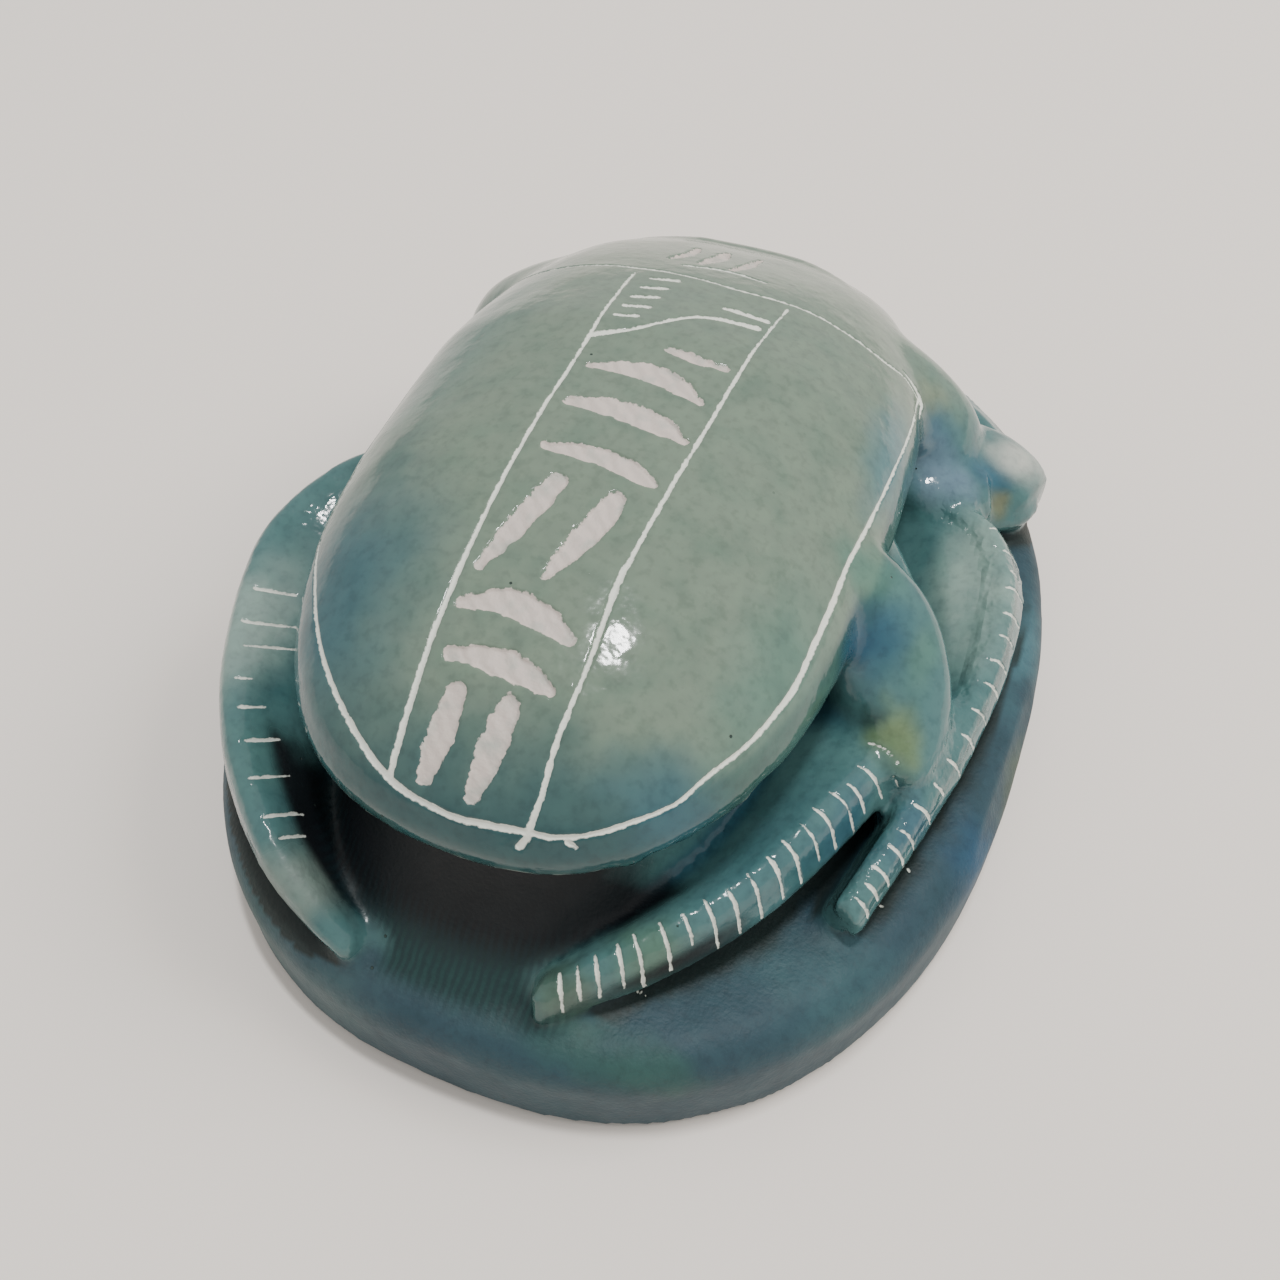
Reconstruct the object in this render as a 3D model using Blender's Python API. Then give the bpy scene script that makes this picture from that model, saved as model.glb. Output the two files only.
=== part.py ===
"""Scarab carved from one block of glazed steatite.

An oval base plate carries a beetle: a high cushion-shaped back with an undercut
rim, a thorax that flares wider in front of it, a head, and three pairs of legs
folded along its sides. It is all one stone, so it becomes one solid. Metres,
+Z up, the head towards +Y, the origin under the middle of the base plate.
"""
import math

import bmesh
import bpy
from mathutils import Vector

MM = 0.001

# Base plate
BASE_LENGTH = 85.2 * MM
BASE_WIDTH = 67.4 * MM
BASE_THICKNESS = 9.0 * MM
BASE_POWER = 2.38
BASE_TOP_ROUND = 3.0 * MM
BASE_FOOT_ROUND = 0.7 * MM
BASE_SIDES = 64

# The carver set the beetle a little left of the plate's middle, its head more so
BEETLE_SHIFT = -2.7 * MM
BEETLE_LEAN = -0.035

# Back: the wing cases and the middle of the thorax
BACK_WIDTH = 43.6 * MM
BACK_TAIL_Y = -35.0 * MM
BACK_WIDEST_Y = 2.0 * MM
BACK_FRONT_Y = 40.5 * MM
BACK_POWER = 2.5
BACK_FRONT_POWER = 2.8
BACK_RIM_Z = 20.6 * MM
BACK_BAND_HEIGHT = 3.9 * MM
BACK_CROWN_HEIGHT = 9.4 * MM
BACK_FRONT_FALL = 0.15
BACK_FALL_FROM_Y = 8.0 * MM
BACK_SIDES = 56
CROWN_SHARE = 0.98
CROWN_FLATNESS = 2.3
CROWN_SHOULDER = 0.72
CROWN_STEPS = 10

# The rim, from underneath: share of the outline, and height above the rim's lowest edge
BACK_RIM = ((0.80, 1.4 * MM), (0.95, 0.2 * MM), (0.985, 0.0), (1.0, 0.8 * MM), (1.0, 2.4 * MM))

# Thorax: a lower, wider cushion that shows at the front corners of the back
THORAX_WIDTH = 52.4 * MM
THORAX_MIDDLE_Y = 25.2 * MM
THORAX_HALF_LENGTH = 8.8 * MM
THORAX_POWER = 2.15
THORAX_REAR_POWER = 3.0
THORAX_EDGE_Z = 15.6 * MM
THORAX_EDGE_HEIGHT = 1.5 * MM
THORAX_TOP_Z = 25.4 * MM
THORAX_SIDES = 48
THORAX_TOP_SHARE = 0.985
THORAX_FLATNESS = 4
THORAX_SHOULDER = 0.6
THORAX_STEPS = 7
THORAX_RIM = ((0.8, 0.6 * MM), (0.97, 0.0), (1.0, 0.5 * MM))

# Waist: the stone left standing under the back, sloping to the plate's lip at the tail
WAIST_INSET = 4.5 * MM
WAIST_FLARE = 3.5 * MM
WAIST_HOLLOW = 2.4
WAIST_STEPS = 8
TAIL_LIP_INSET = 1.6 * MM
TAIL_LIP_DROP = 0.9 * MM

# Lobes: the right thigh runs out of the back and ends in a knee over the hind leg; the right
# shoulder and elbow swell beside the thorax. Stations: out from the back's side, along, top,
# half width and half thickness.
LOBE_POWER = 2.8
LOBE_SIDES = 18
LOBE_STATIONS = 11
LOBES = {
    "thigh_right": (0.7, (
        (-5.0, -3.5, 27.4, 4.2, 6.0),
        (-1.4, -3.8, 26.6, 4.6, 6.4),
        (1.2, -4.8, 24.6, 4.9, 6.4),
        (3.2, -7.0, 21.4, 4.7, 5.6),
        (4.5, -9.6, 19.2, 3.8, 4.8),
        (5.2, -12.0, 17.8, 2.8, 4.2),
        (5.5, -14.0, 16.6, 1.5, 3.4),
    )),
    "shoulder_right": (0.0, (
        (-3.1, 19.6, 16.4, 3.8, 3.4),
        (0.4, 19.7, 17.0, 4.1, 3.6),
        (3.2, 20.4, 16.8, 3.8, 3.6),
        (5.6, 21.6, 15.8, 3.0, 3.0),
    )),
    "elbow_right": (0.0, (
        (2.2, 25.8, 16.4, 3.4, 3.4),
        (5.7, 25.2, 15.9, 4.0, 3.4),
        (8.5, 24.6, 14.9, 3.7, 3.2),
        (10.3, 24.0, 13.7, 2.6, 2.4),
    )),
}

# Head
HEAD_WIDTH = 19.0 * MM
HEAD_ASIDE = 1.5 * MM
HEAD_TOP_Z = 18.0 * MM
HEAD_BACK_Y = 32.0 * MM
HEAD_FRONT_Y = 42.4 * MM
HEAD_POWER = 2.6
HEAD_STEPS = 7
HEAD_ARC_STEPS = 10

# How the head changes from back to front: the share of its width and height that it loses,
# and how late it loses them
HEAD_NARROWING = (0.55, 2.5)
HEAD_SINKING = (0.62, 2.2)
HEAD_CROWDING = 1.6

# Legs
LEG_ROUND = 1.8 * MM
LEG_ROUND_TURNS = (120, 90, 60, 25)
LEG_ROUND_SQUASH = 0.8
LEG_SLOPE_BEND = (0.55, 0.62)
LEG_EDGE_ROUND = 0.9 * MM
LEG_EDGE_LEAN = 0.25 * MM
LEG_UNDERCUT = 2.6 * MM
LEG_UNDERCUT_RISE = 1.1 * MM
LEG_STATIONS = 17
SINK = 1.5 * MM

# Each leg: its side, the point that its cross-cuts point away from, and stations along
# its ridge. A station is, in millimetres, out from the back's side, along, ridge height,
# inner slope's width, height at its foot, outer face's width, height of the face's edge.
LEGS = {
    "hind_leg_right": (1, (-17.8, -4), (
        (-2.8, 8.0, 20.6, 8.0, 19.0, 2.0, 17.5),
        (1.8, 2.0, 19.2, 10.0, 18.2, 2.0, 15.6),
        (4.2, -4.5, 17.8, 12.0, 16.4, 2.1, 14.2),
        (3.8, -10.4, 16.9, 12.0, 13.0, 2.2, 13.0),
        (1.0, -18.6, 17.0, 11.0, 10.0, 2.2, 12.5),
        (-3.1, -26.6, 16.2, 9.0, 9.2, 2.2, 11.7),
        (-8.9, -33.2, 14.8, 6.6, 8.6, 2.1, 10.4),
        (-14.4, -38.0, 12.6, 4.4, 8.0, 1.8, 9.4),
    )),
    "hind_leg_left": (-1, (-17.8, -6), (
        (-2.0, 2.0, 20.8, 6.0, 19.0, 2.0, 17.4),
        (3.4, -2.6, 20.0, 9.0, 18.0, 1.9, 16.4),
        (6.3, -9.6, 19.0, 10.0, 15.5, 1.8, 15.4),
        (5.3, -16.8, 18.5, 9.0, 14.5, 1.8, 14.8),
        (2.6, -23.6, 18.0, 8.0, 13.0, 1.8, 14.0),
        (-1.4, -30.0, 17.4, 7.0, 11.5, 1.8, 13.2),
        (-7.0, -35.5, 16.2, 5.0, 10.6, 1.6, 12.0),
        (-11.6, -38.0, 13.8, 3.6, 9.6, 1.4, 10.6),
        (-15.2, -39.2, 11.0, 2.2, 8.4, 1.2, 9.2),
    )),
    "middle_leg_right": (1, (-41.8, -2), (
        (-1.8, 18.0, 15.0, 4.0, 12.0, 2.4, 11.8),
        (5.8, 16.0, 15.8, 8.0, 12.0, 2.6, 12.0),
        (9.0, 10.6, 15.8, 9.0, 11.6, 2.4, 12.0),
        (9.8, 2.6, 15.4, 6.6, 11.2, 2.0, 11.8),
        (8.9, -5.6, 15.0, 4.0, 11.0, 1.8, 11.6),
        (7.2, -13.6, 14.5, 2.4, 10.6, 1.7, 11.1),
        (5.6, -19.8, 14.0, 2.0, 10.2, 1.6, 10.7),
        (4.2, -24.4, 13.2, 1.8, 9.8, 1.6, 10.2),
    )),
    "middle_leg_left": (-1, (-41.8, -2), (
        (-3.8, 15.0, 14.6, 4.0, 12.0, 2.4, 11.4),
        (0.6, 13.0, 14.8, 6.0, 12.0, 2.4, 11.4),
        (2.6, 7.0, 14.4, 6.0, 11.4, 2.0, 11.2),
        (3.4, -0.4, 14.0, 5.0, 11.0, 1.8, 11.0),
        (3.6, -8.0, 13.4, 3.4, 10.6, 1.7, 10.6),
        (3.2, -15.0, 12.6, 2.0, 10.0, 1.6, 10.0),
    )),
    "front_leg_right": (1, (-5.8, 29), (
        (-4.4, 18.8, 14.5, 6.0, 13.0, 2.4, 11.2),
        (1.4, 19.8, 14.8, 7.0, 12.6, 2.4, 10.8),
        (5.8, 21.0, 13.8, 8.0, 12.4, 2.4, 10.4),
        (8.8, 24.2, 13.4, 9.0, 12.4, 2.2, 10.4),
        (6.4, 30.0, 12.6, 8.0, 12.0, 2.4, 10.4),
        (-0.6, 36.0, 13.0, 6.0, 12.4, 2.4, 10.8),
        (-8.2, 38.8, 12.4, 6.0, 12.0, 2.2, 10.2),
    )),
    "front_leg_left": (-1, (-6.8, 29), (
        (-4.8, 19.4, 14.5, 6.0, 13.0, 2.4, 11.2),
        (-1.0, 21.2, 15.2, 6.0, 13.0, 2.4, 11.2),
        (1.0, 23.8, 14.4, 7.0, 13.0, 2.4, 11.2),
        (1.8, 27.6, 13.8, 7.0, 12.8, 2.4, 11.0),
        (0.0, 32.6, 13.2, 6.0, 12.4, 2.4, 10.8),
        (-4.4, 36.8, 12.8, 6.0, 12.2, 2.4, 10.6),
        (-9.8, 39.4, 12.4, 6.0, 12.0, 2.2, 10.2),
    )),
}


def signed_power(value, power):
    """A sine or cosine bent so that a circle becomes a squarer oval."""
    return math.copysign(abs(value) ** (2 / power), value)


def on_plate(x, y, z):
    """A point of the beetle, moved to where the beetle stands on the plate."""
    return Vector((x + BEETLE_SHIFT + BEETLE_LEAN * y, y, z))


def smooth_line(stations, count):
    """A Catmull-Rom curve through the stations, read at evenly spaced steps."""
    first = [2 * a - b for a, b in zip(stations[0], stations[1])]
    last = [2 * a - b for a, b in zip(stations[-1], stations[-2])]
    rows = [first, *stations, last]
    spans = len(stations) - 1
    line = []
    for step in range(count):
        place = step / (count - 1) * spans
        k = min(int(place), spans - 1)
        t = place - k
        point = []
        for p, q, r, s in zip(*rows[k:k + 4]):
            bend = (2 * p - 5 * q + 4 * r - s) * t ** 2 + (3 * q - p - 3 * r + s) * t ** 3
            point.append(0.5 * (2 * q + (r - p) * t + bend))
        line.append(point)
    return line


def loft(name, rings):
    """A closed solid through rings of points, with flat ends."""
    mesh = bmesh.new()
    rows = [[mesh.verts.new(point) for point in ring] for ring in rings]
    for low, high in zip(rows, rows[1:]):
        for i in range(len(low)):
            j = (i + 1) % len(low)
            mesh.faces.new((low[i], low[j], high[j], high[i]))
    ends = [mesh.faces.new(rows[0]), mesh.faces.new(rows[-1])]
    bmesh.ops.recalc_face_normals(mesh, faces=mesh.faces)
    bmesh.ops.triangulate(mesh, faces=ends)
    data = bpy.data.meshes.new(name)
    mesh.to_mesh(data)
    mesh.free()
    return bpy.data.objects.new(name, data)


def base_plate():
    """The plate: a squarish ellipse with a small round at its foot and a broad one on top."""
    profile = []
    for step in range(3):
        turn = math.pi / 2 * step / 2
        profile.append((BASE_FOOT_ROUND * (1 - math.sin(turn)), BASE_FOOT_ROUND * (1 - math.cos(turn))))
    for step in range(6):
        turn = math.pi / 2 * step / 5
        profile.append((
            BASE_TOP_ROUND * (1 - math.cos(turn)),
            BASE_THICKNESS - BASE_TOP_ROUND * (1 - math.sin(turn)),
        ))
    rings = []
    for inset, z in profile:
        ring = []
        for i in range(BASE_SIDES):
            turn = 2 * math.pi * i / BASE_SIDES
            x = (BASE_WIDTH / 2 - inset) * signed_power(math.cos(turn), BASE_POWER)
            y = (BASE_LENGTH / 2 - inset) * signed_power(math.sin(turn), BASE_POWER)
            ring.append(Vector((x, y, z)))
        rings.append(ring)
    return loft("base_plate", rings)


def back_outline(i):
    """One point of the back's rim: straight sides, a round tail and a round front."""
    turn = 2 * math.pi * i / BACK_SIDES
    reach, power = BACK_FRONT_Y - BACK_WIDEST_Y, BACK_FRONT_POWER
    if math.sin(turn) < 0:
        reach, power = BACK_WIDEST_Y - BACK_TAIL_Y, BACK_POWER
    x = BACK_WIDTH / 2 * signed_power(math.cos(turn), power)
    y = reach * signed_power(math.sin(turn), power)
    return x, y


def dome_shares(steps):
    """Shares of an outline from its edge almost to its middle, closer together at the edge."""
    return [math.cos(math.pi / 2 * (step / steps) ** 1.1) for step in range(steps)]


def crown(rho):
    """The crown's height share: flat on top, round at the shoulders."""
    return (1 - rho ** CROWN_FLATNESS) ** CROWN_SHOULDER


def back():
    """The cushion: an undercut rim, an upright band above it and a crowned top."""
    levels = list(BACK_RIM)
    for rho in dome_shares(CROWN_STEPS):
        levels.append((CROWN_SHARE * rho, BACK_BAND_HEIGHT + BACK_CROWN_HEIGHT * crown(rho)))
    rings = []
    for share, rise in levels:
        ring = []
        for i in range(BACK_SIDES):
            x, y = back_outline(i)
            along = BACK_WIDEST_Y + y * share
            fall = BACK_FRONT_FALL * max(0.0, along - BACK_FALL_FROM_Y)
            ring.append(on_plate(x * share, along, BACK_RIM_Z + rise - fall))
        rings.append(ring)
    return loft("back", rings)


def thorax():
    """The flare in front of the wing cases: a thin-edged cushion under the back's crown."""
    levels = list(THORAX_RIM)
    rise = THORAX_TOP_Z - THORAX_EDGE_Z - THORAX_EDGE_HEIGHT
    for rho in dome_shares(THORAX_STEPS):
        dome = (1 - rho ** THORAX_FLATNESS) ** THORAX_SHOULDER
        levels.append((THORAX_TOP_SHARE * rho, THORAX_EDGE_HEIGHT + rise * dome))
    rings = []
    for share, lift in levels:
        ring = []
        for i in range(THORAX_SIDES):
            turn = 2 * math.pi * i / THORAX_SIDES
            power = THORAX_REAR_POWER if math.sin(turn) < 0 else THORAX_POWER
            x = THORAX_WIDTH / 2 * signed_power(math.cos(turn), power) * share
            y = THORAX_MIDDLE_Y + THORAX_HALF_LENGTH * signed_power(math.sin(turn), power) * share
            ring.append(on_plate(x, y, THORAX_EDGE_Z + lift))
        rings.append(ring)
    return loft("thorax", rings)


def waist():
    """The block under the back; behind, it slopes out and down to the lip of the plate."""
    foot = BASE_THICKNESS - TAIL_LIP_DROP
    height = BACK_RIM_Z + BACK_BAND_HEIGHT - foot
    inset = 1 - WAIST_INSET / (BACK_WIDTH / 2)
    tail_y = BACK_TAIL_Y + WAIST_INSET
    lip_y = -BASE_LENGTH / 2 + TAIL_LIP_INSET
    rings = []
    for step in range(-1, WAIST_STEPS):
        t = max(step, 0) / (WAIST_STEPS - 1)
        flare = (1 - t) ** WAIST_HOLLOW
        ring = []
        for i in range(BACK_SIDES):
            x, y = back_outline(i)
            across = x * inset * (1 + WAIST_FLARE / (BACK_WIDTH / 2) * flare)
            along = BACK_WIDEST_Y + y * (tail_y - BACK_WIDEST_Y) / (BACK_TAIL_Y - BACK_WIDEST_Y)
            if y < 0:
                depth = (BACK_WIDEST_Y - along) / (BACK_WIDEST_Y - tail_y)
                along -= (tail_y - lip_y) * flare * depth
            z = foot + height * t if step >= 0 else foot - 2 * SINK
            ring.append(on_plate(across, along, z))
        rings.append(ring)
    return loft("waist", rings)


def head():
    """A low rounded head that reaches out from under the thorax."""
    low = BASE_THICKNESS - SINK
    rings = []
    for step in range(HEAD_STEPS):
        t = step / (HEAD_STEPS - 1)
        y = HEAD_BACK_Y + (HEAD_FRONT_Y - HEAD_BACK_Y) * (1 - (1 - t) ** HEAD_CROWDING)
        half = HEAD_WIDTH / 2 * (1 - HEAD_NARROWING[0] * t ** HEAD_NARROWING[1])
        top = low + (HEAD_TOP_Z - low) * (1 - HEAD_SINKING[0] * t ** HEAD_SINKING[1])
        left, right = HEAD_ASIDE - half, HEAD_ASIDE + half
        ring = [on_plate(right, y, low - SINK), on_plate(right, y, low)]
        for i in range(1, HEAD_ARC_STEPS):
            turn = math.pi * i / HEAD_ARC_STEPS
            x = HEAD_ASIDE + half * signed_power(math.cos(turn), HEAD_POWER)
            ring.append(on_plate(x, y, low + (top - low) * signed_power(math.sin(turn), HEAD_POWER)))
        ring += [on_plate(left, y, low), on_plate(left, y, low - SINK)]
        rings.append(ring)
    return loft("head", rings)


def lobe(name, trough, stations):
    """Squarish oval sections along a bent path, their tops hollowed by the trough half way."""
    line = smooth_line([[value * MM for value in row] for row in stations], LOBE_STATIONS)
    rings = []
    for k, (across, along, top, half, thick) in enumerate(line):
        ahead, behind = line[min(k + 1, len(line) - 1)], line[max(k - 1, 0)]
        way = Vector((ahead[0] - behind[0], ahead[1] - behind[1])).normalized()
        hollow = trough * MM * math.sin(math.pi * k / (len(line) - 1))
        ring = []
        for i in range(LOBE_SIDES):
            turn = 2 * math.pi * i / LOBE_SIDES
            n = signed_power(math.cos(turn), LOBE_POWER)
            rise = signed_power(math.sin(turn), LOBE_POWER)
            x = BACK_WIDTH / 2 + across - way.y * half * n
            y = along + way.x * half * n
            ring.append(on_plate(x, y, top - thick + thick * rise - hollow * (1 - n * n) * (rise > 0)))
        rings.append(ring)
    return loft(name, rings)


def leg_section(ridge, inner, inner_z, outer, edge_z):
    """Across a leg: inner slope, rounded ridge, outer face, and the cut under its edge."""
    foot = BASE_THICKNESS - SINK
    bend_out, bend_up = LEG_SLOPE_BEND
    bend = (-inner * bend_out, inner_z + (ridge - inner_z) * bend_up)
    section = [(-inner, foot), (-inner, inner_z), bend]
    for degrees in LEG_ROUND_TURNS:
        turn = math.radians(degrees)
        section.append((
            LEG_ROUND * math.cos(turn) * LEG_ROUND_SQUASH,
            ridge - LEG_ROUND + LEG_ROUND * math.sin(turn),
        ))
    section.append((outer, edge_z + LEG_EDGE_ROUND))
    section.append((outer - LEG_EDGE_LEAN, edge_z))
    section.append((outer - LEG_UNDERCUT, edge_z - LEG_UNDERCUT_RISE))
    section.append((outer - LEG_UNDERCUT, foot))
    return section


def leg(name, side, centre, stations):
    """A leg, lofted along its ridge; every cross-cut points away from the leg's centre."""
    line = smooth_line([[value * MM for value in row] for row in stations], LEG_STATIONS)
    middle = Vector(centre) * MM
    rings = []
    for across, y, *sizes in line:
        out = (Vector((across, y)) - middle).normalized()
        x = BACK_WIDTH / 2 + across
        section = leg_section(*sizes)
        rings.append([on_plate(side * (x + out.x * n), y + out.y * n, z) for n, z in section])
    return loft(name, rings)


def glazed_steatite():
    """Blue-green glaze over pale stone."""
    material = bpy.data.materials.new("glazed_steatite")
    material.use_nodes = True
    shader = material.node_tree.nodes["Principled BSDF"]
    shader.inputs["Base Color"].default_value = (0.16, 0.29, 0.27, 1.0)
    shader.inputs["Roughness"].default_value = 0.25
    shader.inputs["Metallic"].default_value = 0.0
    return material


def main():
    for old in list(bpy.data.objects):
        bpy.data.objects.remove(old)
    scarab = bpy.data.collections.new("scarab_amulet")
    forms = bpy.data.collections.new("carved_forms")
    for group in (scarab, forms):
        bpy.context.scene.collection.children.link(group)
    stone = base_plate()
    stone.name = stone.data.name = "scarab"
    scarab.objects.link(stone)
    carved = [
        waist(),
        back(),
        thorax(),
        head(),
        *(lobe(name, *shape) for name, shape in LOBES.items()),
        *(leg(name, *shape) for name, shape in LEGS.items()),
    ]
    for form in carved:
        forms.objects.link(form)
        form.hide_render = True
        form.display_type = "WIRE"
        join = stone.modifiers.new(form.name, "BOOLEAN")
        join.operation = "UNION"
        join.solver = "MANIFOLD"
        join.object = form
    stone.data.materials.append(glazed_steatite())
    stone.data.shade_smooth()


main()
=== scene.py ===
import bmesh
import bpy
import numpy as np
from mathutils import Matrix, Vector


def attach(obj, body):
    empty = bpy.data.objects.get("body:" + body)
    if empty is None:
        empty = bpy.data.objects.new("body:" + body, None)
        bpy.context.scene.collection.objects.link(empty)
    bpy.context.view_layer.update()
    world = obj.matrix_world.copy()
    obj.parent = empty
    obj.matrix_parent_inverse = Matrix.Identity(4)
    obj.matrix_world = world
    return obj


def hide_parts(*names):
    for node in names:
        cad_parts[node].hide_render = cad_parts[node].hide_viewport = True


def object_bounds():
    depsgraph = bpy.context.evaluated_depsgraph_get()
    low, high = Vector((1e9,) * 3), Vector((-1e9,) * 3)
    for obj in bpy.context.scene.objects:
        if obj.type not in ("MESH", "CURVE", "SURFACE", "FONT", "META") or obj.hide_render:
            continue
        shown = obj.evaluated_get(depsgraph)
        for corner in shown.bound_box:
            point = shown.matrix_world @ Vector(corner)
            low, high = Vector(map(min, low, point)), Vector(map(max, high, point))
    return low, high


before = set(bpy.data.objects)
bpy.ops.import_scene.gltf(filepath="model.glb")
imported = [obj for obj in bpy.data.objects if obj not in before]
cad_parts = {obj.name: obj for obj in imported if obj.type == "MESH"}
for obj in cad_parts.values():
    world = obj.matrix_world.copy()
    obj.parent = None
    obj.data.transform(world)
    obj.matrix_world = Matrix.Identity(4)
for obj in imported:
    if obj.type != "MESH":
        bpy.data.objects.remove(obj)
cad_low, cad_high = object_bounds()


# Base plate
# The foot of the carving is a squarish oval slab, sawn flat underneath, its upper edge
# filed round and its lower one only eased. The beetle above it is cut from the same block.
MM = 0.001
PLATE_WIDTH = (cad_high.x - cad_low.x) / MM
PLATE_LENGTH = (cad_high.y - cad_low.y) / MM
PLATE_THICKNESS = 9.0
PLATE_POWER = 2.38
PLATE_TOP_ROUND = 3.0
PLATE_FOOT_ROUND = 0.7
PLATE_SIDES = 320


def squared(wave, power):
    """A sine or cosine bent to (its size) to the 2/power, so that a circle becomes a squarer oval."""
    return np.copysign(np.abs(wave) ** (2 / power), wave)


def oval(sides, power):
    """Across and along places round a squarish oval of half width and half length 1."""
    turn = np.arange(sides) * 2 * np.pi / sides
    return squared(np.cos(turn), power), squared(np.sin(turn), power)


def quarter(steps):
    """Sines and cosines of evenly spaced angles from nought to a quarter turn."""
    turn = np.linspace(0, np.pi / 2, steps)
    return np.sin(turn), np.cos(turn)


def solid_through(rings):
    """A closed form through an array of rings (ring, point, xyz): two triangles for each pair of
    neighbouring points on neighbouring rings, and a fan about the mean point of each end ring."""
    count, around = rings.shape[:2]
    here = np.arange(count * around).reshape(count, around)
    next_one = np.roll(here, -1, axis=1)
    low = np.stack([here[:-1], next_one[:-1], next_one[1:]], axis=-1)
    high = np.stack([here[:-1], next_one[1:], here[1:]], axis=-1)
    first = np.stack([next_one[0], here[0], np.full(around, count * around)], axis=-1)
    last = np.stack([here[-1], next_one[-1], np.full(around, count * around + 1)], axis=-1)
    faces = np.concatenate([low.reshape(-1, 3), high.reshape(-1, 3), first, last])
    points = np.concatenate([rings.reshape(-1, 3), rings[[0, -1]].mean(axis=1)])
    return points, faces


def plate():
    """The oval, drawn in by the profile's inset at each height of a quarter round at the foot and
    a quarter round on top."""
    sine, cosine = quarter(6)
    foot = PLATE_FOOT_ROUND * np.stack([1 - sine, 1 - cosine])
    sine, cosine = quarter(16)
    top = np.stack([PLATE_TOP_ROUND * (1 - cosine), PLATE_THICKNESS - PLATE_TOP_ROUND * (1 - sine)])
    inset, height = np.concatenate([foot, top], axis=1)
    across, along = oval(PLATE_SIDES, PLATE_POWER)
    x = (PLATE_WIDTH / 2 - inset[:, None]) * across
    y = (PLATE_LENGTH / 2 - inset[:, None]) * along
    return solid_through(np.stack([x, y, np.broadcast_to(height[:, None], x.shape)], axis=-1))


# Back
# The wing cases and the thorax between them are one high cushion. Its rim is undercut, stands
# upright as a narrow band all round, and turns over into the crown.
BEETLE_SHIFT = -2.7
BEETLE_LEAN = -0.035
BACK_WIDTH = 43.6
BACK_TAIL_Y = -35.0
BACK_WIDEST_Y = 2.0
BACK_FRONT_Y = 40.5
BACK_POWER = 2.5
BACK_FRONT_POWER = 2.8
BACK_RIM_Z = 20.6
BACK_BAND_HEIGHT = 3.9
BACK_CROWN_HEIGHT = 9.4
BACK_FRONT_FALL = 0.15
BACK_FALL_FROM_Y = 8.0
BACK_SIDES = 300
BACK_RIM = ((0.80, 1.4), (0.95, 0.2), (0.985, 0.0), (1.0, 0.8), (1.0, 2.4))
CROWN_SHARE = 0.98
CROWN_FLATNESS = 2.3
CROWN_SHOULDER = 0.72
CROWN_STEPS = 70


def on_plate(x, y, z):
    """The beetle's own places, moved and leaned to where the carver set it on the plate."""
    return np.stack([x + BEETLE_SHIFT + BEETLE_LEAN * y, y, z], axis=-1)


def back_outline():
    """The rim from above, measured from its widest place: half a squarish oval to the front, and
    half another to the tail."""
    across, along = oval(BACK_SIDES, BACK_POWER)
    across_front, along_front = oval(BACK_SIDES, BACK_FRONT_POWER)
    tail = along < 0
    x = BACK_WIDTH / 2 * np.where(tail, across, across_front)
    y = np.where(tail, (BACK_WIDEST_Y - BACK_TAIL_Y) * along, (BACK_FRONT_Y - BACK_WIDEST_Y) * along_front)
    return x, y


def back_share(x, y):
    """The share of the rim's outline that a place lies on."""
    tail = y < BACK_WIDEST_Y
    power = np.where(tail, BACK_POWER, BACK_FRONT_POWER)
    reach = np.where(tail, BACK_WIDEST_Y - BACK_TAIL_Y, BACK_FRONT_Y - BACK_WIDEST_Y)
    return ((np.abs(x) * 2 / BACK_WIDTH) ** power
            + np.abs((y - BACK_WIDEST_Y) / reach) ** power) ** (1 / power)


def crown_rise(rho):
    """The crown's height share, 1 less rho to the flatness, all to the shoulder's power: flat on
    top and round at the shoulders."""
    return (1 - np.clip(rho, 0, 1) ** CROWN_FLATNESS) ** CROWN_SHOULDER


def back_fall(along):
    """How much lower the crown lies towards the head, in a straight slope past one place."""
    return BACK_FRONT_FALL * np.maximum(0, along - BACK_FALL_FROM_Y)


def dome_shares(steps):
    """Shares of an outline from its edge almost to its middle, closer together at the edge."""
    return np.cos(np.pi / 2 * (np.arange(steps) / steps) ** 1.1)


def back():
    """The rim's oval, drawn in by a share at each level: the listed rim, then the crown."""
    rho = dome_shares(CROWN_STEPS)
    crown = np.stack([CROWN_SHARE * rho, BACK_BAND_HEIGHT + BACK_CROWN_HEIGHT * crown_rise(rho)])
    share, rise = np.concatenate([np.array(BACK_RIM).T, crown], axis=1)
    across, along = back_outline()
    x = across * share[:, None]
    y = BACK_WIDEST_Y + along * share[:, None]
    return solid_through(on_plate(x, y, BACK_RIM_Z + rise[:, None] - back_fall(y)))


def on_back(places):
    """Points on the crown above (across, along) places, from the same oval and rise."""
    x, y = np.asarray(places, float).T
    rise = BACK_BAND_HEIGHT + BACK_CROWN_HEIGHT * crown_rise(back_share(x, y) / CROWN_SHARE)
    return on_plate(x, y, BACK_RIM_Z + rise - back_fall(y))


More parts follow.
